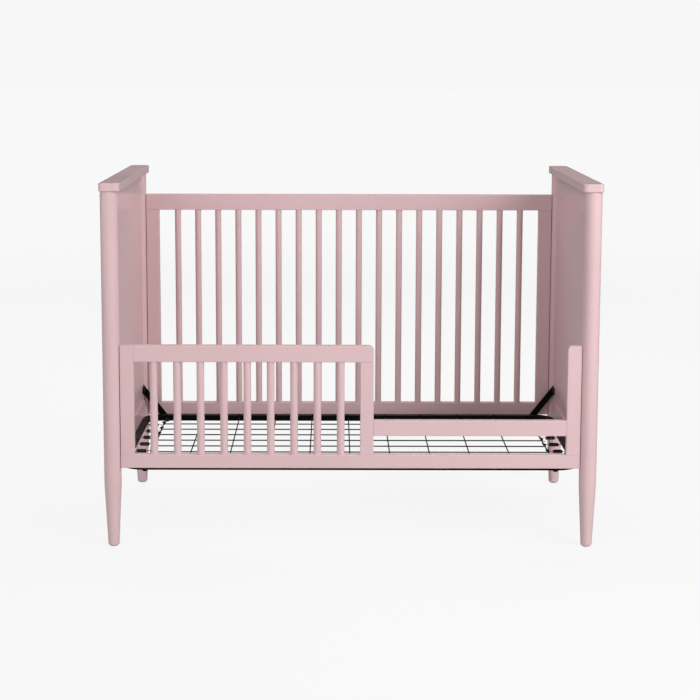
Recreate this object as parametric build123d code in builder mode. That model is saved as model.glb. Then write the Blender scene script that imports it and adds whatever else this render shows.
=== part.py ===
from build123d import *

import os
from math import hypot

os.makedirs("parts", exist_ok=True)

# A toddler bed made from a crib: a wooden bed frame with a low front rail, and a black
# steel mattress support of sprung wire that hangs from the end panels on four flat arms.
# X runs along the bed, Y to the back, Z up. The origin is on the floor, under the middle.

# Posts
post_r = 25
post_x = 690
post_y = 368
post_top = 1038
post_ease = 2
foot_r = 16
foot_round = 4
taper_top = 185

# Caps
cap_x = (657, 717)
cap_y = 395
cap_t = 23
cap_corner = 14
cap_ease = 2.5

# End panels
end_low = 234
end_rail_t = 30
end_panel_t = 22
end_bottom_rail_top = 286
end_top_rail_low = 968
tongue_t = 12
tongue_y = post_y - post_r + 15
tongue_depth = 8
fit_gap = 0.1

# Front and back frames
frame_t = 24
rail_end = post_x - post_r
ease = 2
end_ease = 0.5
low_rail_z = (234, 274)
back_top_z = (917, 968)
back_stile_w = 42
back_spindle_d = 20
back_spindle_count = 18
back_spindle_pitch = 66.1
front_stile_w = 40
guard_stile_x = (28, 66.5)
guard_top_z = (546, 594)
guard_corner = 16
middle_rail_z = (330, 375)
short_stile_corner = 13
guard_spindle_d = 22
guard_spindle_count = 9
spindle_tenon_d = 14
spindle_tenon = 10

# Steel mattress support
angle_x = 673
angle_y = 333
angle_corner = 66
angle_z = (217, 240)
angle_t = 3
angle_flange = 23
wire_d = 3.8
cross_pitch = 120
cross_count = 11
long_pitch = 77
long_count = 7
cross_wire_z = 232
wire_wrap_r = wire_d + fit_gap
hook_bend = 2.4
hook_y = 318
hook_top_z = 242.4
spring_ys = (-225, -135, -45, 45, 135, 225)
spring_x = (619, 648)
spring_d = 12
spring_z = 226.5
spring_wire_d = 1.8
spring_eye_x = 656.5
arm_w = 20
arm_t = 3
arm_low = (601, 223)
arm_high = (post_x - end_panel_t / 2, 322)
arm_tab_y = 300
arm_tab_h = 22
arm_tab_corner = 5
insert_y = 318
insert_heights = (322, 422, 522, 622)

# Hardware
dowel_d = 8
dowel_length = 30
dowel_step = 11
bolt_d = 6
bolt_head_d = 12
bolt_head_t = 4
bolt_sink = 7
bolt_end_x = 638
nut_d = 10
nut_length = 16
nut_x = 645
nut_cover = 2
front_bolt_heights = (254, 520)
back_bolt_heights = (254, 943)
insert_d = 9
insert_length = 13
hanger_bolt_end = 11
rivet_d = 6
rivet_head_d = 11
rivet_head_t = 2.5
glide_r = 11
glide_t = 2.5
glide_stem_r = 2
glide_stem = 16

TURN = {"X": (0, 90, 0), "Y": (90, 0, 0), "Z": (0, 0, 0)}
SIDES = {"left": -1, "right": 1}
FACES = {"front": -1, "back": 1}
BOLT_HEIGHTS = {"front": front_bolt_heights, "back": back_bolt_heights}


def mid(span):
    return (span[0] + span[1]) / 2


def length(span):
    return span[1] - span[0]


def save(piece, name):
    """Labels a finished piece and writes it to its own STEP file."""
    piece.part.label = name
    export_step(piece.part, f"parts/{name}.step")


def pins(sites, diameter, reach, mode=Mode.ADD):
    """Adds, or cuts, a round bar centred on each site (x, y, z, axis) of the open piece."""
    for x, y, z, axis in sites:
        with Locations(Location((x, y, z), TURN[axis])):
            Cylinder(diameter / 2, reach, mode=mode)


def cut_pins(sites, diameter, reach):
    pins(sites, diameter + fit_gap, reach + fit_gap, Mode.SUBTRACT)


# Where the dowels stand, as (x, y, z, axis), centred on the seam that each one crosses
def paired(x, y, z, axis):
    """Two dowel sites side by side across one seam."""
    if axis == "X":
        return [(x, y, z - dowel_step, axis), (x, y, z + dowel_step, axis)]
    return [(x - dowel_step, y, z, axis), (x + dowel_step, y, z, axis)]


front_stile_x = rail_end - front_stile_w / 2
back_stile_x = rail_end - back_stile_w / 2
front_dowels = (
    paired(-front_stile_x, -post_y, low_rail_z[1], "Z")
    + paired(front_stile_x, -post_y, low_rail_z[1], "Z")
    + paired(mid(guard_stile_x), -post_y, low_rail_z[1], "Z")
    + paired(mid(guard_stile_x), -post_y, guard_top_z[0], "Z")
    + paired(front_stile_w - rail_end, -post_y, mid(guard_top_z), "X")
    + paired(guard_stile_x[1], -post_y, mid(middle_rail_z), "X")
    + paired(rail_end - front_stile_w, -post_y, mid(middle_rail_z), "X")
)
back_dowels = [
    site
    for x in (-back_stile_x, back_stile_x)
    for z in (low_rail_z[1], back_top_z[0])
    for site in paired(x, post_y, z, "Z")
]
cap_dowels = [
    (side * post_x, y, post_top, "Z") for side in SIDES.values() for y in (-post_y, -120, 120, post_y)
]


# Where the spindles stand along the front and back frames
guard_gap_x = (front_stile_w - rail_end, guard_stile_x[0])
guard_pitch = (length(guard_gap_x) + guard_spindle_d) / (guard_spindle_count + 1)
guard_spindle_xs = [
    guard_gap_x[0] + (n + 1) * guard_pitch - guard_spindle_d / 2 for n in range(guard_spindle_count)
]
back_pair_xs = [(n + 0.5) * back_spindle_pitch for n in range(back_spindle_count // 2)]
back_spindle_xs = [side * x for x in back_pair_xs for side in (-1, 1)]


def post(side, face):
    """A turned post: straight above, tapered to a small round-edged foot."""
    x, y = SIDES[side] * post_x, FACES[face] * post_y
    out = SIDES[side]
    bolts = [(x, y, z, "X") for z in BOLT_HEIGHTS[face]]
    sinks = [(x + out * post_r, y, z, "X") for z in BOLT_HEIGHTS[face]]
    with BuildPart() as leg:
        with BuildSketch(Plane(origin=(x, y, 0), x_dir=(1, 0, 0), z_dir=(0, -1, 0))):
            with BuildLine():
                Polyline(
                    (0, glide_t),
                    (foot_r, glide_t),
                    (post_r, taper_top),
                    (post_r, post_top - post_ease),
                    (post_r - post_ease, post_top),
                    (0, post_top),
                    close=True,
                )
            make_face()
        revolve(axis=Axis((x, y, 0), (0, 0, 1)))
        fillet(leg.edges().group_by(Axis.Z)[0], foot_round)
        with BuildSketch(Plane.XY.offset(end_low)):
            with Locations((x, FACES[face] * (tongue_y + fit_gap - post_r / 2))):
                Rectangle(tongue_t + fit_gap, post_r)
        extrude(amount=post_top - end_low, mode=Mode.SUBTRACT)
        cut_pins(bolts, bolt_d, 2 * post_r)
        cut_pins(sinks, bolt_head_d, 2 * bolt_sink)
        cut_pins(cap_dowels, dowel_d, dowel_length)
        cut_pins([(x, y, glide_t, "Z")], 2 * glide_stem_r, 2 * glide_stem)
    return leg


def cap(side):
    """A flat board with round corners over two posts and the end between them."""
    low, high = sorted(SIDES[side] * x for x in cap_x)
    with BuildPart() as top:
        with BuildSketch(Plane.XY.offset(post_top)):
            with Locations(((low + high) / 2, 0)):
                RectangleRounded(high - low, 2 * cap_y, cap_corner)
        extrude(amount=cap_t)
        fillet(top.edges().group_by(Axis.Z)[-1], cap_ease)
        fillet(top.edges().group_by(Axis.Z)[0], cap_ease / 2)
        cut_pins(cap_dowels, dowel_d, dowel_length)
    return top


def end_member(side, thickness, z):
    """A board between two posts: its ends fit round the posts, and its tongues fit into them."""
    x = SIDES[side] * post_x
    with BuildPart() as member:
        with BuildSketch(Plane.XY.offset(z[0])):
            with Locations((x, 0)):
                Rectangle(thickness, 2 * post_y)
            with Locations((x, -post_y), (x, post_y)):
                Circle(post_r, mode=Mode.SUBTRACT)
            with Locations((x, 0)):
                Rectangle(tongue_t, 2 * tongue_y)
        extrude(amount=length(z))
    return member


def end_rail(side, z, groove_z):
    """An end rail with a groove, centred on groove_z, that holds the panel's tongue."""
    x = SIDES[side] * post_x
    with BuildPart() as rail:
        add(end_member(side, end_rail_t, z).part)
        with Locations((x, 0, groove_z)):
            Box(
                tongue_t + fit_gap,
                2 * tongue_y + 1,
                2 * (tongue_depth + fit_gap),
                mode=Mode.SUBTRACT,
            )
        cut_pins(cap_dowels, dowel_d, dowel_length)
    return rail


def insert_sites(side):
    """The middle of each threaded insert in one end panel."""
    x = SIDES[side] * (arm_high[0] + insert_length / 2)
    return [(x, y, z, "X") for y in (-insert_y, insert_y) for z in insert_heights]


def end_panel(side):
    """The flat panel, tongued on all four edges, with sockets for the inserts."""
    z = (end_bottom_rail_top, end_top_rail_low)
    with BuildPart() as panel:
        add(end_member(side, end_panel_t, z).part)
        with Locations((SIDES[side] * post_x, 0, mid(z))):
            Box(tongue_t, 2 * tongue_y, length(z) + 2 * tongue_depth)
        cut_pins(insert_sites(side), insert_d, insert_length)
    return panel


def board(x, y, z, grain, round_end=None, corner=0):
    """A frame's board, its edges eased, with one top corner (0 left, -1 right) rounded."""
    with BuildPart() as plank:
        with BuildSketch(Plane.XY.offset(z[0])):
            with Locations((mid(x), y)):
                Rectangle(length(x), frame_t)
        extrude(amount=length(z))
        if corner:
            tops = plank.edges().filter_by(Axis.Y).group_by(Axis.Z)[-1]
            fillet(tops.sort_by(Axis.X)[round_end], corner)
        fillet(plank.edges().filter_by(grain), ease)
        for end in (0,) if corner else (0, -1):
            chamfer(plank.faces().sort_by(grain)[end].edges(), end_ease)
    return plank


def bolt_holes(y, heights, open_to):
    """Cuts the bolt hole and the barrel nut's hole at both ends of a frame's member."""
    for side in SIDES.values():
        for z in heights:
            cut_pins([(side * (bolt_end_x + rail_end) / 2, y, z, "X")], bolt_d, rail_end - bolt_end_x + 2)
            mouth = y + open_to * frame_t / 2
            cut_pins([(side * nut_x, mouth, z, "Y")], nut_d, 2 * (nut_length + nut_cover))


def tenon_sites(xs, y, z):
    return [(x, y, z, "Z") for x in xs]


def back_rail(z, seam_z):
    """A back rail across the whole frame, drilled for spindles on its inner edge."""
    with BuildPart() as rail:
        add(board((-rail_end, rail_end), post_y, z, Axis.X).part)
        cut_pins(tenon_sites(back_spindle_xs, post_y, seam_z), spindle_tenon_d, 2 * spindle_tenon)
        cut_pins(back_dowels, dowel_d, dowel_length)
        bolt_holes(post_y, back_bolt_heights, 1)
    return rail


def back_stile(side):
    with BuildPart() as stile:
        x = sorted((SIDES[side] * rail_end, SIDES[side] * (rail_end - back_stile_w)))
        add(board(x, post_y, (low_rail_z[1], back_top_z[0]), Axis.Z).part)
        cut_pins(back_dowels, dowel_d, dowel_length)
    return stile


def front_low_rail():
    with BuildPart() as rail:
        add(board((-rail_end, rail_end), -post_y, low_rail_z, Axis.X).part)
        cut_pins(
            tenon_sites(guard_spindle_xs, -post_y, low_rail_z[1]), spindle_tenon_d, 2 * spindle_tenon
        )
        cut_pins(front_dowels, dowel_d, dowel_length)
        bolt_holes(-post_y, front_bolt_heights, 1)
    return rail


def front_stile(x, z, top_corner=0):
    """An upright of the front frame, its top left corner rounded if a radius is given."""
    with BuildPart() as stile:
        add(board(x, -post_y, z, Axis.Z, 0, top_corner).part)
        cut_pins(front_dowels, dowel_d, dowel_length)
        bolt_holes(-post_y, front_bolt_heights, 1)
    return stile


def guard_top_rail():
    """The guard's top rail, which ends in a round corner over the guard's end stile."""
    with BuildPart() as rail:
        x = (guard_gap_x[0], guard_stile_x[1])
        add(board(x, -post_y, guard_top_z, Axis.X, -1, guard_corner).part)
        cut_pins(
            tenon_sites(guard_spindle_xs, -post_y, guard_top_z[0]), spindle_tenon_d, 2 * spindle_tenon
        )
        cut_pins(front_dowels, dowel_d, dowel_length)
    return rail


def middle_rail():
    with BuildPart() as rail:
        x = (guard_stile_x[1], rail_end - front_stile_w)
        add(board(x, -post_y, middle_rail_z, Axis.X).part)
        cut_pins(front_dowels, dowel_d, dowel_length)
    return rail


def spindles(xs, y, diameter, z):
    """Round spindles between two rails, with a smaller round tenon at each end."""
    with BuildPart() as rods:
        for x in xs:
            pins([(x, y, mid(z), "Z")], diameter, length(z))
            pins([(x, y, mid(z), "Z")], spindle_tenon_d, length(z) + 2 * spindle_tenon)
    return rods


cross_xs = [(n - (cross_count - 1) / 2) * cross_pitch for n in range(cross_count)]
long_ys = [(n - (long_count - 1) / 2) * long_pitch for n in range(long_count)]
rivet_sites = [
    (side * arm_low[0], face * (angle_y - angle_t + (angle_t + arm_t) / 2), arm_low[1], "Y")
    for side in (-1, 1)
    for face in (-1, 1)
]


def mattress_frame():
    """The angle-iron frame, bent round its corners, with holes for wires, springs and rivets."""
    eye_sites = [(side * spring_eye_x, y, angle_z[1], "Z") for side in (-1, 1) for y in spring_ys]
    hook_sites = [(x, face * hook_y, angle_z[1], "Z") for x in cross_xs for face in (-1, 1)]
    with BuildPart() as frame:
        with BuildSketch(Plane.XY.offset(angle_z[0])):
            RectangleRounded(2 * angle_x, 2 * angle_y, angle_corner)
            RectangleRounded(
                2 * (angle_x - angle_t),
                2 * (angle_y - angle_t),
                angle_corner - angle_t,
                mode=Mode.SUBTRACT,
            )
        extrude(amount=length(angle_z))
        with BuildSketch(Plane.XY.offset(angle_z[1] - angle_t)):
            RectangleRounded(2 * angle_x, 2 * angle_y, angle_corner)
            RectangleRounded(
                2 * (angle_x - angle_flange),
                2 * (angle_y - angle_flange),
                angle_corner - angle_flange,
                mode=Mode.SUBTRACT,
            )
        extrude(amount=angle_t)
        cut_pins(eye_sites, spring_wire_d + 1, 3 * angle_t)
        cut_pins(hook_sites, wire_d + 0.5, 3 * angle_t)
        cut_pins(rivet_sites, rivet_d, 6 * angle_t)
    return frame


def hanger_arm(side, face):
    """A flat bar from the frame's rivet up to the panel, with a bent tab that takes the bolt."""
    out, near = SIDES[side], FACES[face]
    rise = (arm_high[0] - arm_low[0], arm_high[1] - arm_low[1])
    run = hypot(*rise)
    across = (-rise[1] / run * arm_w / 2, rise[0] / run * arm_w / 2)
    end_half = arm_w / 2 * run / rise[0]
    corners = [
        (arm_low[0] + across[0], arm_low[1] + across[1]),
        (arm_high[0], arm_high[1] + end_half),
        (arm_high[0], arm_high[1] - end_half),
        (arm_low[0] - across[0], arm_low[1] - across[1]),
    ]
    tab_y = (arm_tab_y, angle_y + arm_t)
    with BuildPart() as arm:
        with BuildSketch(Plane.XZ.offset(-near * (angle_y + arm_t / 2))):
            with BuildLine():
                Polyline(*[(out * x, z) for x, z in corners], close=True)
            make_face()
            with Locations((out * arm_low[0], arm_low[1])):
                Circle(arm_w / 2)
        extrude(amount=arm_t / 2, both=True)
        with Locations((out * (arm_high[0] - arm_t / 2), near * mid(tab_y), arm_high[1])):
            Box(arm_t, length(tab_y), arm_tab_h)
        tips = arm.edges().filter_by(Axis.X).group_by(Axis.Y)[0 if near > 0 else -1]
        fillet(tips, arm_tab_corner)
        cut_pins(rivet_sites, rivet_d, 6 * angle_t)
        cut_pins([(out * arm_high[0], near * insert_y, arm_high[1], "X")], bolt_d, 4 * arm_t)
    return arm


def deck_cross_wires():
    """Wires across the bed, each hooked up through a hole in either side flange."""
    back_x = hook_y - 2 * wire_d
    path_points = [
        (-back_x, hook_top_z),
        (-hook_y, hook_top_z),
        (-hook_y, cross_wire_z),
        (hook_y, cross_wire_z),
        (hook_y, hook_top_z),
        (back_x, hook_top_z),
    ]
    with BuildPart() as wires:
        for x in cross_xs:
            across = Plane(origin=(x, 0, 0), x_dir=(0, 1, 0), z_dir=(1, 0, 0))
            with BuildLine(across) as route:
                FilletPolyline(*path_points, radius=hook_bend)
            with BuildSketch(Plane(origin=route.line @ 0, z_dir=route.line % 0)):
                Circle(wire_d / 2)
            sweep(path=route.line)
    return wires


def deck_long_wires():
    """Wires along the bed, each wrapped round the last cross wire at either end."""
    end_x = cross_xs[-1]
    low_z = cross_wire_z - wire_wrap_r
    with BuildPart() as wires:
        for y in long_ys:
            along = Plane(origin=(0, y, 0), x_dir=(1, 0, 0), z_dir=(0, -1, 0))
            with BuildLine(along) as route:
                CenterArc((-end_x, cross_wire_z), wire_wrap_r, 0, 270)
                Line((-end_x, low_z), (end_x, low_z))
                CenterArc((end_x, cross_wire_z), wire_wrap_r, -90, 270)
            with BuildSketch(Plane(origin=route.line @ 0, z_dir=route.line % 0)):
                Circle(wire_d / 2)
            sweep(path=route.line)
    return wires


def deck_springs():
    """Tension springs from the last cross wires to the end flanges, hooked at both ends."""
    body_x = mid(spring_x)
    wrap_r = cross_wire_z - spring_z
    wrap_x = cross_xs[-1] + wrap_r - (wire_d + spring_wire_d) / 2 - fit_gap
    with BuildPart() as springs:
        for out in SIDES.values():
            for y in spring_ys:
                pins([(out * body_x, y, spring_z, "X")], spring_d, length(spring_x))
                along = Plane(origin=(0, y, 0), x_dir=(1, 0, 0), z_dir=(0, -1, 0))
                with BuildLine(along) as hook:
                    Line((out * body_x, spring_z), (out * wrap_x, spring_z))
                    CenterArc((out * wrap_x, cross_wire_z), wrap_r, -90, -out * 270)
                with BuildSketch(Plane(origin=hook.line @ 0, z_dir=hook.line % 0)):
                    Circle(spring_wire_d / 2)
                sweep(path=hook.line)
                eye = [
                    (out * body_x, spring_z),
                    (out * spring_eye_x, spring_z),
                    (out * spring_eye_x, hook_top_z),
                    (out * (spring_eye_x - 2 * hook_bend), hook_top_z),
                ]
                with BuildLine(along) as tail:
                    FilletPolyline(*eye, radius=hook_bend)
                with BuildSketch(Plane(origin=tail.line @ 0, z_dir=tail.line % 0)):
                    Circle(spring_wire_d / 2)
                sweep(path=tail.line)
    return springs


def dowels():
    with BuildPart() as pegs:
        pins(front_dowels + back_dowels + cap_dowels, dowel_d, dowel_length)
    return pegs


def rail_bolts():
    """Bolts from the posts' outer sides into the barrel nuts, their heads sunk in the posts."""
    head_x = post_x + post_r - bolt_sink
    with BuildPart() as bolts:
        for out in SIDES.values():
            for face, heights in BOLT_HEIGHTS.items():
                y = FACES[face] * post_y
                for z in heights:
                    pins([(out * (bolt_end_x + head_x) / 2, y, z, "X")], bolt_d, head_x - bolt_end_x)
                    pins([(out * (head_x + bolt_head_t / 2), y, z, "X")], bolt_head_d, bolt_head_t)
                    key = [(out * (head_x + bolt_head_t), y, z, "X")]
                    pins(key, bolt_head_d / 2, bolt_head_t, Mode.SUBTRACT)
    return bolts


def barrel_nuts():
    """Short steel cylinders in the rails and stiles, cross-drilled for the rail bolts."""
    with BuildPart() as nuts:
        for out in SIDES.values():
            for face, heights in BOLT_HEIGHTS.items():
                middle = FACES[face] * post_y + frame_t / 2 - nut_cover - nut_length / 2
                for z in heights:
                    pins([(out * nut_x, middle, z, "Y")], nut_d, nut_length)
                    cut_pins([(out * nut_x, FACES[face] * post_y, z, "X")], bolt_d, 2 * nut_d)
    return nuts


def height_inserts():
    """Threaded sleeves in the end panels, one at each height that the mattress can hang at."""
    with BuildPart() as sleeves:
        for side in SIDES:
            pins(insert_sites(side), insert_d, insert_length)
            cut_pins(insert_sites(side), bolt_d, 2 * insert_length)
    return sleeves


def hanger_bolts():
    """Bolts that hold the arms' tabs to the lowest inserts."""
    tab_x = arm_high[0] - arm_t
    with BuildPart() as bolts:
        for out in SIDES.values():
            for near in FACES.values():
                y, z = near * insert_y, arm_high[1]
                reach = arm_t + hanger_bolt_end
                pins([(out * (tab_x + reach / 2), y, z, "X")], bolt_d, reach)
                pins([(out * (tab_x - bolt_head_t / 2), y, z, "X")], bolt_head_d, bolt_head_t)
                key = [(out * (tab_x - bolt_head_t), y, z, "X")]
                pins(key, bolt_head_d / 2, bolt_head_t, Mode.SUBTRACT)
    return bolts


def arm_rivets():
    """Rivets through the frame's side flanges and the arms' lower ends."""
    grip = angle_t + arm_t
    with BuildPart() as rivets:
        for x, y, z, axis in rivet_sites:
            pins([(x, y, z, axis)], rivet_d, grip)
            for face in (-1, 1):
                head_y = y + face * (grip + rivet_head_t) / 2
                pins([(x, head_y, z, axis)], rivet_head_d, rivet_head_t)
        heads = rivets.faces().filter_by(Axis.Y).group_by(SortBy.AREA)[-1]
        fillet(heads.edges(), rivet_head_t / 2)
    return rivets


def foot_glides():
    """Nylon glides under the feet, each with a stem driven into the post."""
    with BuildPart() as glides:
        for out in SIDES.values():
            for near in FACES.values():
                x, y = out * post_x, near * post_y
                pins([(x, y, glide_t / 2, "Z")], 2 * glide_r, glide_t)
                pins([(x, y, glide_stem / 2, "Z")], 2 * glide_stem_r, glide_stem)
    return glides


# Ends
for side in SIDES:
    for face in FACES:
        save(post(side, face), f"{face}_{side}_post")
        save(hanger_arm(side, face), f"{face}_{side}_hanger_arm")
    save(cap(side), f"{side}_cap")
    save(end_rail(side, (end_top_rail_low, post_top), end_top_rail_low), f"{side}_end_top_rail")
    save(end_panel(side), f"{side}_end_panel")
    save(
        end_rail(side, (end_low, end_bottom_rail_top), end_bottom_rail_top),
        f"{side}_end_bottom_rail",
    )
    save(back_stile(side), f"back_{side}_stile")

# Back frame
save(back_rail(back_top_z, back_top_z[0]), "back_top_rail")
save(back_rail(low_rail_z, low_rail_z[1]), "back_bottom_rail")
spindle_z = (low_rail_z[1], back_top_z[0])
for number, x in enumerate(back_pair_xs, start=1):
    pair = spindles((-x, x), post_y, back_spindle_d, spindle_z)
    save(pair, f"back_spindle_pair_{number}")

# Front frame
upright_z = (low_rail_z[1], guard_top_z[1])
save(front_low_rail(), "front_bottom_rail")
save(guard_top_rail(), "guard_top_rail")
save(middle_rail(), "middle_rail")
save(front_stile((-rail_end, guard_gap_x[0]), upright_z), "front_left_stile")
save(front_stile(guard_stile_x, (low_rail_z[1], guard_top_z[0])), "guard_end_stile")
short_x = (rail_end - front_stile_w, rail_end)
save(front_stile(short_x, upright_z, short_stile_corner), "front_right_stile")
for number, x in enumerate(guard_spindle_xs, start=1):
    rod = spindles((x,), -post_y, guard_spindle_d, (low_rail_z[1], guard_top_z[0]))
    save(rod, f"guard_spindle_{number}")

# Mattress support
save(mattress_frame(), "mattress_frame")
save(deck_cross_wires(), "deck_cross_wires")
save(deck_long_wires(), "deck_long_wires")
save(deck_springs(), "deck_springs")

# Hardware
save(dowels(), "dowels")
save(rail_bolts(), "rail_bolts")
save(barrel_nuts(), "barrel_nuts")
save(height_inserts(), "height_inserts")
save(hanger_bolts(), "hanger_bolts")
save(arm_rivets(), "arm_rivets")
save(foot_glides(), "foot_glides")
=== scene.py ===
from math import cos, pi, radians, sin

import bpy
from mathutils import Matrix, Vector


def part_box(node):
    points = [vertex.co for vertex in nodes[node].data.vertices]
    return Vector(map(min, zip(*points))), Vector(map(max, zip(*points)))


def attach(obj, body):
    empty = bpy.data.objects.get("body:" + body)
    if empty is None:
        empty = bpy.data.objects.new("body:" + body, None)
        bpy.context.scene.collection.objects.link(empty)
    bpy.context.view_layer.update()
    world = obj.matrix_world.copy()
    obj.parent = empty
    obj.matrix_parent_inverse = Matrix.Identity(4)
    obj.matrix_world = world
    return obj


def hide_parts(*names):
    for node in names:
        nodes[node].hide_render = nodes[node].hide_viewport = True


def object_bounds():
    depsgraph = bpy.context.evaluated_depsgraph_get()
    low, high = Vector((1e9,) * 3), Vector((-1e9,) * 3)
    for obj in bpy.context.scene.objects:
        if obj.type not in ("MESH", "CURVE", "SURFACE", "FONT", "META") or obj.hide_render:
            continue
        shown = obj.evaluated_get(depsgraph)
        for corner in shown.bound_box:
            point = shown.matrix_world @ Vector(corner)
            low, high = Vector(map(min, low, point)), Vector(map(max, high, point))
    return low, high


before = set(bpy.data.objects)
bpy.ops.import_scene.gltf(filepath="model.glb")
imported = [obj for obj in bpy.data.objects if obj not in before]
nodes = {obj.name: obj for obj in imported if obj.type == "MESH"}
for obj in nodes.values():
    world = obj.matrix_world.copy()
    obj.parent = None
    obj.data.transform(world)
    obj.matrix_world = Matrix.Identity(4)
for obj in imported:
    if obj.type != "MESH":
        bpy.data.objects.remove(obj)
cad_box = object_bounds()


# Camera: a central view of the front, from a little above the caps

SENSOR_MM = 36
LENS_MM = 86.35
SHIFT = (0.017, -0.1)
CAMERA_PLACE = (-0.0484, -5.131, 1.428)
PITCH_DOWN, ROLL, YAW = 7.705, -0.13, -0.121  # degrees

camera_data = bpy.data.cameras.new("camera")
camera_data.sensor_width = SENSOR_MM
camera_data.lens = LENS_MM
camera_data.shift_x, camera_data.shift_y = SHIFT
camera_data.clip_end = 200
camera = bpy.data.objects.new("camera", camera_data)
bpy.context.scene.collection.objects.link(camera)
camera.location = CAMERA_PLACE
camera.rotation_euler = (radians(90 - PITCH_DOWN), radians(ROLL), radians(YAW))
bpy.context.scene.camera = camera
bpy.context.scene.view_settings.view_transform = "Standard"


# Materials


class Shader:
    """A new node material, with short calls for the nodes that it needs."""

    def __init__(self, name):
        self.material = bpy.data.materials.new(name)
        self.material.use_nodes = True
        self.tree = self.material.node_tree
        self.bsdf = self.tree.nodes["Principled BSDF"]
        self.coords = self.tree.nodes.new("ShaderNodeTexCoord").outputs["Object"]

    def link(self, source, target):
        self.tree.links.new(source, target)

    def scaled(self, scale):
        """Object coordinates, multiplied by a scale along each axis."""
        mapping = self.tree.nodes.new("ShaderNodeMapping")
        mapping.inputs["Scale"].default_value = scale
        self.link(self.coords, mapping.inputs["Vector"])
        return mapping.outputs["Vector"]

    def noise(self, scale, detail=4.0, stretch=(1, 1, 1), roughness=0.55, distortion=0.0):
        node = self.tree.nodes.new("ShaderNodeTexNoise")
        node.inputs["Scale"].default_value = scale
        node.inputs["Detail"].default_value = detail
        node.inputs["Roughness"].default_value = roughness
        node.inputs["Distortion"].default_value = distortion
        self.link(self.scaled(stretch), node.inputs["Vector"])
        return node.outputs["Fac"]

    def ramp(self, value, stops):
        """A colour or grey ramp through (position, colour) stops."""
        node = self.tree.nodes.new("ShaderNodeValToRGB")
        elements = node.color_ramp.elements
        elements[0].position, elements[0].color = stops[0]
        elements[1].position, elements[1].color = stops[-1]
        for position, colour in stops[1:-1]:
            elements.new(position).color = colour
        self.link(value, node.inputs["Fac"])
        return node.outputs["Color"]

    def mix(self, factor, first, second, mode="MIX"):
        """Two colours mixed by a factor, which is a number or another node's output."""
        node = self.tree.nodes.new("ShaderNodeMix")
        node.data_type = "RGBA"
        node.blend_type = mode
        pins = {"Factor_Float": factor, "A_Color": first, "B_Color": second}
        for key, value in pins.items():
            socket = next(s for s in node.inputs if s.identifier == key)
            if isinstance(value, bpy.types.NodeSocket):
                self.link(value, socket)
            else:
                socket.default_value = value
        return next(s for s in node.outputs if s.identifier == "Result_Color")

    def bump(self, height, strength, distance, under=None):
        node = self.tree.nodes.new("ShaderNodeBump")
        node.inputs["Strength"].default_value = strength
        node.inputs["Distance"].default_value = distance
        self.link(height, node.inputs["Height"])
        if under:
            self.link(under, node.inputs["Normal"])
        return node.outputs["Normal"]

    def finish(self, colour, roughness, normal, **constants):
        self.link(colour, self.bsdf.inputs["Base Color"])
        self.link(roughness, self.bsdf.inputs["Roughness"])
        self.link(normal, self.bsdf.inputs["Normal"])
        for name, value in constants.items():
            self.bsdf.inputs[name.replace("_", " ")].default_value = value
        return self.material


def grey(value):
    return (value, value, value, 1)


PINK = (0.690, 0.486, 0.501, 1)
PINK_DEEP = (0.677, 0.472, 0.487, 1)
PINK_PALE = (0.701, 0.498, 0.513, 1)
GRAIN = {"x": (0.035, 1, 1), "y": (1, 0.035, 1), "z": (1, 1, 0.035)}


def painted_wood(axis):
    """Satin pink paint over fine closed grain that runs along one axis of the bed."""
    s = Shader(f"pink_paint_{axis}")
    cloud = s.noise(3.0, detail=3)
    grain = s.noise(420, detail=5, stretch=GRAIN[axis], roughness=0.6, distortion=0.4)
    pores = s.noise(1500, detail=2, stretch=GRAIN[axis])
    peel = s.noise(620, detail=1)
    base = s.ramp(cloud, [(0.32, PINK_DEEP), (0.5, PINK), (0.68, PINK_PALE)])
    streak = s.ramp(grain, [(0.35, grey(0.985)), (0.62, grey(1.0))])
    colour = s.mix(1.0, base, streak, "MULTIPLY")
    roughness = s.ramp(cloud, [(0.3, grey(0.23)), (0.7, grey(0.19))])
    rough_wood = s.bump(grain, 0.010, 0.0004)
    rough_pores = s.bump(pores, 0.006, 0.0002, rough_wood)
    normal = s.bump(peel, 0.008, 0.0003, rough_pores)
    return s.finish(colour, roughness, normal, Specular_IOR_Level=0.42)


def bare_wood():
    """Pale unfinished dowel stock."""
    s = Shader("bare_wood")
    grain = s.noise(300, detail=6, stretch=GRAIN["z"], distortion=0.6)
    colour = s.ramp(grain, [(0.3, (0.52, 0.34, 0.18, 1)), (0.7, (0.68, 0.49, 0.29, 1))])
    roughness = s.ramp(grain, [(0.3, grey(0.75)), (0.7, grey(0.62))])
    return s.finish(colour, roughness, s.bump(grain, 0.25, 0.0004))


def powder_coat():
    """Black powder coat, with its fine orange peel and a few pale rubs."""
    s = Shader("black_powder_coat")
    peel = s.noise(900, detail=2)
    broad = s.noise(14, detail=4)
    colour = s.ramp(broad, [(0.35, grey(0.0015)), (0.7, grey(0.003))])
    roughness = s.ramp(broad, [(0.3, grey(0.38)), (0.7, grey(0.52))])
    return s.finish(colour, roughness, s.bump(peel, 0.35, 0.0003), Specular_IOR_Level=0.12)


def coated_wire():
    """Drawn wire under thin black paint, with faint lengthwise marks."""
    s = Shader("black_coated_wire")
    marks = s.noise(700, detail=3, stretch=(0.2, 0.2, 1))
    colour = s.ramp(marks, [(0.3, grey(0.0015)), (0.75, grey(0.004))])
    roughness = s.ramp(marks, [(0.3, grey(0.3)), (0.7, grey(0.44))])
    return s.finish(colour, roughness, s.bump(marks, 0.2, 0.0002), Specular_IOR_Level=0.12)


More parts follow.
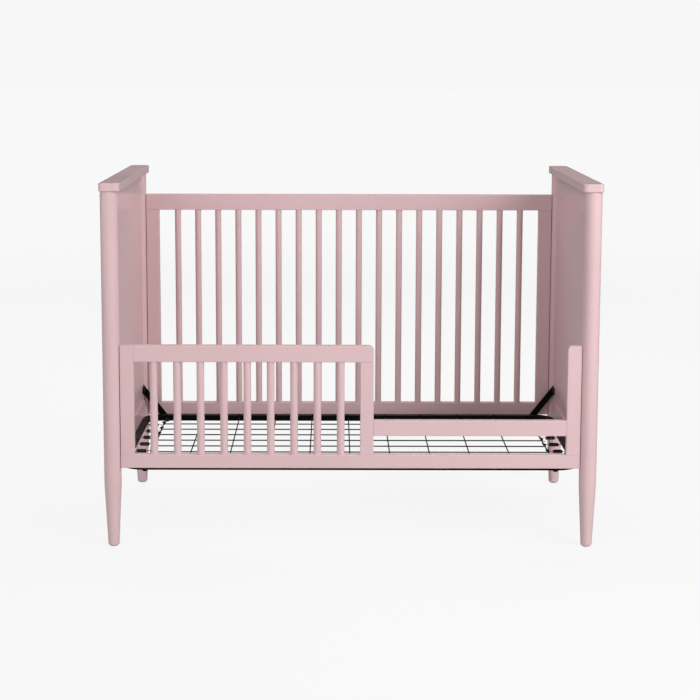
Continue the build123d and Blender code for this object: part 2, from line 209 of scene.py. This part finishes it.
def black_oxide():
    """Black oxide on the bolts and rivets, browner and shinier where a tool has turned."""
    s = Shader("black_oxide")
    mottle = s.noise(260, detail=5)
    dark, brown, rubbed = (0.012, 0.011, 0.011, 1), (0.022, 0.020, 0.019, 1), (0.05, 0.045, 0.042, 1)
    colour = s.ramp(mottle, [(0.3, dark), (0.55, brown), (0.75, rubbed)])
    roughness = s.ramp(mottle, [(0.3, grey(0.42)), (0.75, grey(0.28))])
    return s.finish(colour, roughness, s.bump(mottle, 0.15, 0.0002), Metallic=0.6)


def zinc_plate():
    """Zinc plate, cloudy grey with fine turning lines."""
    s = Shader("zinc_plate")
    cloud = s.noise(180, detail=4)
    lines = s.noise(1400, detail=2, stretch=(1, 0.1, 0.1))
    colour = s.ramp(cloud, [(0.3, (0.42, 0.42, 0.41, 1)), (0.7, (0.60, 0.60, 0.58, 1))])
    roughness = s.ramp(cloud, [(0.3, grey(0.36)), (0.7, grey(0.26))])
    return s.finish(colour, roughness, s.bump(lines, 0.15, 0.0002), Metallic=0.95)


def nylon():
    """Milky nylon of the foot glides, scuffed underneath."""
    s = Shader("nylon")
    scuff = s.noise(500, detail=5, stretch=(1, 0.3, 1))
    colour = s.ramp(scuff, [(0.3, (0.62, 0.60, 0.55, 1)), (0.7, (0.78, 0.77, 0.73, 1))])
    roughness = s.ramp(scuff, [(0.3, grey(0.6)), (0.7, grey(0.42))])
    return s.finish(colour, roughness, s.bump(scuff, 0.2, 0.0003), Subsurface_Weight=0.15)


paint = {axis: painted_wood(axis) for axis in GRAIN}
black = powder_coat()
wire_black = coated_wire()
oxide = black_oxide()
zinc = zinc_plate()
wood = bare_wood()
glide = nylon()

FINISHES = {
    "post": paint["z"],
    "stile": paint["z"],
    "spindle": paint["z"],
    "cap": paint["y"],
    "end_top_rail": paint["y"],
    "end_bottom_rail": paint["y"],
    "end_panel": paint["z"],
    "back_top_rail": paint["x"],
    "back_bottom_rail": paint["x"],
    "front_bottom_rail": paint["x"],
    "guard_top_rail": paint["x"],
    "middle_rail": paint["x"],
    "mattress_frame": black,
    "hanger_arm": black,
    "wires": wire_black,
    "springs": wire_black,
    "hanger_bolts": oxide,
    "arm_rivets": oxide,
    "rail_bolts": zinc,
    "barrel_nuts": zinc,
    "height_inserts": zinc,
    "dowels": wood,
    "foot_glides": glide,
}


def finish_of(name):
    """The finish whose key is the longest one found in a node's name."""
    return FINISHES[max((key for key in FINISHES if key in name), key=len)]


def paint_nodes():
    for name, node in nodes.items():
        node.data.materials.clear()
        node.data.materials.append(finish_of(name))


paint_nodes()


# Pieces that are finer than the CAD solids


def add_mesh(name, vertices, faces, material):
    """A smooth-shaded mesh piece that rides on the bed."""
    mesh = bpy.data.meshes.new(name)
    mesh.from_pydata([tuple(v) for v in vertices], [], faces)
    mesh.validate()
    for polygon in mesh.polygons:
        polygon.use_smooth = True
    piece = bpy.data.objects.new(name, mesh)
    bpy.context.scene.collection.objects.link(piece)
    mesh.materials.append(material)
    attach(piece, "root")
    return piece


def tube(points, radius, sides):
    """Vertices and faces of a closed round tube along a line of points."""
    vertices, faces = [], []
    normal = (points[1] - points[0]).orthogonal().normalized()
    for i, point in enumerate(points):
        before = points[max(i - 1, 0)]
        after = points[min(i + 1, len(points) - 1)]
        tangent = (after - before).normalized()
        normal = (normal - tangent * normal.dot(tangent)).normalized()
        side = tangent.cross(normal)
        for k in range(sides):
            angle = 2 * pi * k / sides
            vertices.append(point + radius * (cos(angle) * normal + sin(angle) * side))
    for i in range(len(points) - 1):
        for k in range(sides):
            a, b = i * sides + k, i * sides + (k + 1) % sides
            faces.append((a, b, b + sides, a + sides))
    faces.append(tuple(reversed(range(sides))))
    faces.append(tuple(range(len(vertices) - sides, len(vertices))))
    return vertices, faces


def bend(centre, radius, start, turn, steps):
    """Points of an arc in the XZ plane, its angles in degrees from +X towards +Z."""
    return [
        centre + radius * Vector((cos(radians(a)), 0, sin(radians(a))))
        for a in (start + turn * i / steps for i in range(steps + 1))
    ]


MM = 0.001
spring_low, spring_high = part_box("deck_springs")
cross_low, cross_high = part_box("deck_cross_wires")
GAP = 0.1 * MM
SPRING_YS = [y * MM for y in (-225, -135, -45, 45, 135, 225)]
WIRE_R = 1.9 * MM
END_WIRE_X = cross_high.x - WIRE_R
CROSS_Z = cross_low.z + WIRE_R
COIL_WIRE_R = 0.9 * MM
COIL_OUTER_R = 6 * MM
COIL_R = COIL_OUTER_R - COIL_WIRE_R
COIL_TURNS = 14
COIL_STEPS = 18
COIL_WIRE_SIDES = 8
COIL_FROM = 19 * MM
COIL_TO = 48 * MM
LEAD_IN = 5 * MM
LEAD_OUT = 3 * MM
END_COIL_SHARE = 0.35
COILING_SHARE = 1 / 20
EYE_X = 56.5 * MM
EYE_BEND = 2.4 * MM
EYE_TAIL = 2.4 * EYE_BEND
AXIS_Z = spring_low.z + COIL_OUTER_R
HOOK_R = CROSS_Z - AXIS_Z
HOOK_X = HOOK_R - WIRE_R - COIL_WIRE_R - GAP
HOOK_TOP_Z = spring_high.z - COIL_WIRE_R


def spring_line():
    """The wire of one spring, from its hook on the cross wire at x = 0 to its eye at x = EYE_X."""
    points = bend(Vector((HOOK_X, 0, 0)), HOOK_R, 20, 250, 24)
    axis = Vector((0, 0, -HOOK_R))
    points.append(axis + Vector((COIL_FROM - LEAD_IN, 0, 0)))
    length = COIL_TO - COIL_FROM
    steps = COIL_TURNS * COIL_STEPS
    for i in range(steps + 1):
        share = i / steps
        grow = min(1, share / COILING_SHARE, (1 - share) / COILING_SHARE)
        radius = COIL_R * (END_COIL_SHARE + (1 - END_COIL_SHARE) * grow)
        angle = 2 * pi * COIL_TURNS * share
        across = Vector((0, radius * sin(angle), radius * cos(angle)))
        points.append(axis + Vector((COIL_FROM + length * share, 0, 0)) + across)
    points.append(axis + Vector((COIL_TO + LEAD_OUT, 0, 0)))
    points += bend(axis + Vector((EYE_X - EYE_BEND, 0, EYE_BEND)), EYE_BEND, -90, 90, 6)
    top = HOOK_TOP_Z - AXIS_Z
    points += bend(axis + Vector((EYE_X - EYE_BEND, 0, top - EYE_BEND)), EYE_BEND, 0, 90, 6)
    points.append(axis + Vector((EYE_X - EYE_TAIL, 0, top)))
    return points


def tension_springs():
    """Coil springs hooked between the last cross wires and the frame's end flanges."""
    line = spring_line()
    for side, out in (("left", -1), ("right", 1)):
        for number, y in enumerate(SPRING_YS, start=1):
            place = Vector((out * END_WIRE_X, y, CROSS_Z))
            points = [place + Vector((out * p.x, p.y, p.z)) for p in line]
            vertices, faces = tube(points, COIL_WIRE_R, COIL_WIRE_SIDES)
            if out < 0:
                faces = [tuple(reversed(face)) for face in faces]
            name = f"{side}_spring_{number}"
            spring = add_mesh(name, vertices, faces, wire_black)
            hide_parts("deck_springs")


tension_springs()


def lathe(rings, sides=36):
    """A solid of rings about +X, each (x, radius), where a radius may be a function of angle."""
    vertices, faces = [], []
    for x, radius in rings:
        for k in range(sides):
            angle = 2 * pi * k / sides
            r = radius(angle) if callable(radius) else radius
            vertices.append(Vector((x, r * cos(angle), r * sin(angle))))
    for i in range(len(rings) - 1):
        for k in range(sides):
            a, b = i * sides + k, i * sides + (k + 1) % sides
            faces.append((a, b, b + sides, a + sides))
    faces.append(tuple(reversed(range(sides))))
    faces.append(tuple(range(len(vertices) - sides, len(vertices))))
    return vertices, faces


def hexagon(across_flats):
    """The radius of a hexagon at an angle."""
    return lambda angle: across_flats / 2 / cos((angle + pi / 6) % (pi / 3) - pi / 6)


KEY_SHARE = 0.66
SOCKET_FLOOR = 0.3
MOUTH_SHARE = 0.5
MOUTH_EASE = 0.3 * MM
DOME_SHARE = 0.42
TIP_EASE = 0.6 * MM


def socket_bolt(shank, head_d, head_t, bolt_d):
    """Rings of a button-head bolt with a hexagon socket, its head towards -X and starting at 0."""
    r = head_d / 2
    key = hexagon(bolt_d * KEY_SHARE)
    turns = [radians(a) for a in (80, 60, 35, 10)]
    socket = [(-head_t * SOCKET_FLOOR, key), (-head_t + MOUTH_EASE, key), (-head_t, r * MOUTH_SHARE)]
    dome = [(-head_t * sin(a), r - r * DOME_SHARE * (1 - cos(a))) for a in turns]
    tip = [(shank - TIP_EASE, bolt_d / 2), (shank, bolt_d / 2 - TIP_EASE)]
    return socket + dome + [(0, r), (0, bolt_d / 2)] + tip


def hanger_bolts():
    """The four bolts through the arms' tabs, their heads towards the middle of the bed."""
    low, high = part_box("hanger_bolts")
    head_d, head_t, bolt_d = 12 * MM, 4 * MM, 6 * MM
    tab_x = 676 * MM
    z = (low.z + high.z) / 2
    ys = (low.y + head_d / 2, high.y - head_d / 2)
    sites = [(out, Vector((out * tab_x, y, z))) for out in (-1, 1) for y in ys]
    vertices, faces = lathe(socket_bolt(high.x - tab_x, head_d, head_t, bolt_d))
    for number, (out, site) in enumerate(sites, start=1):
        placed = [site + Vector((out * v.x, v.y, v.z)) for v in vertices]
        wound = faces if out > 0 else [tuple(reversed(face)) for face in faces]
        bolt = add_mesh(f"hanger_bolt_{number}", placed, wound, oxide)
        bolt.data.set_sharp_from_angle(angle=radians(35))
        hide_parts("hanger_bolts")


hanger_bolts()


# Studio: a pale floor, a white surround and soft lights

FLOOR_R = 60
SHOWN = 0.93
SHOWN_UNDER_BED = 0.86
FLOOR_FRONT_GLOW = 0.28
FLOOR_BACK_GLOW = 0.20
FRONT_GLOW = 0.20
BACK_GLOW = 0.03


def map_range(tree, value, ends, levels, smooth=True):
    """A value mapped from one span to another, clamped at its ends."""
    node = tree.nodes.new("ShaderNodeMapRange")
    node.interpolation_type = "SMOOTHSTEP" if smooth else "LINEAR"
    pins = {"From Min": ends[0], "From Max": ends[1], "To Min": levels[0], "To Max": levels[1]}
    for key, level in pins.items():
        if isinstance(level, bpy.types.NodeSocket):
            tree.links.new(level, node.inputs[key])
        else:
            node.inputs[key].default_value = level
    tree.links.new(value, node.inputs["Value"])
    return node.outputs["Result"]


def shown_or_felt(tree, shown, felt):
    """One level for what the camera sees, and another for the light that reaches the bed."""
    rays = tree.nodes.new("ShaderNodeLightPath")
    return map_range(tree, rays.outputs["Is Camera Ray"], (0, 1), (felt, shown), smooth=False)


def floor():
    """A dark floor made pale by a painted glow. It takes soft shadows and glows a little more in
    front of the bed.
    """
    mesh = bpy.data.meshes.new("floor")
    corners = [(x * FLOOR_R, y * FLOOR_R, 0) for x, y in ((-1, -1), (1, -1), (1, 1), (-1, 1))]
    mesh.from_pydata(corners, [], [(0, 1, 2, 3)])
    plane = bpy.data.objects.new("floor", mesh)
    bpy.context.scene.collection.objects.link(plane)
    s = Shader("floor_paint_and_glow")
    tint = s.noise(0.6, detail=2)
    s.link(s.ramp(tint, [(0.3, grey(0.078)), (0.7, grey(0.082))]), s.bsdf.inputs["Base Color"])
    reach = s.tree.nodes.new("ShaderNodeVectorMath")
    reach.operation = "LENGTH"
    s.link(s.coords, reach.inputs[0])
    # Painted light: the glow the camera sees is lower under and near the bed, where the lamps add
    # their own light, and rises to the backdrop's level far off
    shown = map_range(s.tree, reach.outputs["Value"], (1.5, 9), (SHOWN_UNDER_BED, SHOWN))
    place = s.tree.nodes.new("ShaderNodeSeparateXYZ")
    s.link(s.coords, place.inputs["Vector"])
    # Painted light: the floor also glows onto the bed, more from in front of it than from behind
    felt = map_range(s.tree, place.outputs["Y"], (-0.6, 1.2), (FLOOR_FRONT_GLOW, FLOOR_BACK_GLOW))
    s.link(shown_or_felt(s.tree, shown, felt), s.bsdf.inputs["Emission Strength"])
    s.bsdf.inputs["Emission Color"].default_value = (1, 1, 1, 1)
    s.bsdf.inputs["Roughness"].default_value = 1
    s.bsdf.inputs["Specular IOR Level"].default_value = 0
    mesh.materials.append(s.material)


def surround():
    """A white background that lights the bed gently, and mostly from the front."""
    world = bpy.data.worlds.new("surround")
    bpy.context.scene.world = world
    world.use_nodes = True
    tree = world.node_tree
    back = tree.nodes["Background"]
    back.inputs["Color"].default_value = grey(1)
    direction = tree.nodes.new("ShaderNodeSeparateXYZ")
    coords = tree.nodes.new("ShaderNodeTexCoord")
    tree.links.new(coords.outputs["Generated"], direction.inputs["Vector"])
    felt = map_range(tree, direction.outputs["Y"], (-0.35, 0.35), (FRONT_GLOW, BACK_GLOW))
    tree.links.new(shown_or_felt(tree, SHOWN, felt), back.inputs["Strength"])


def softbox(name, place, size, power, glossy=True):
    """A soft light aimed at the bed. Without glossy it adds no mirror image of itself."""
    light = bpy.data.lights.new(name, "AREA")
    light.shape = "RECTANGLE"
    light.size, light.size_y = size
    light.energy = power
    lamp = bpy.data.objects.new(name, light)
    bpy.context.scene.collection.objects.link(lamp)
    lamp.location = place
    lamp.visible_glossy = glossy
    aim = (cad_box[0] + cad_box[1]) / 2
    lamp.rotation_euler = (aim - Vector(place)).to_track_quat("-Z", "Y").to_euler()


floor()
surround()
softbox("key_right", (2.9, -3.3, 2.4), (3.6, 3.0), 20)
softbox("key_right_matt", (3.1, -3.1, 2.4), (3.2, 3.0), 178, glossy=False)
softbox("front_left", (-2.2, -4.0, 2.1), (3.2, 3.0), 26)
softbox("front_left_matt", (-2.2, -4.0, 2.1), (3.2, 3.0), 51, glossy=False)
softbox("side_left", (-4.2, -1.4, 1.9), (3.0, 3.0), 49)
softbox("top_back", (0.0, 2.4, 3.4), (4.2, 3.0), 116)
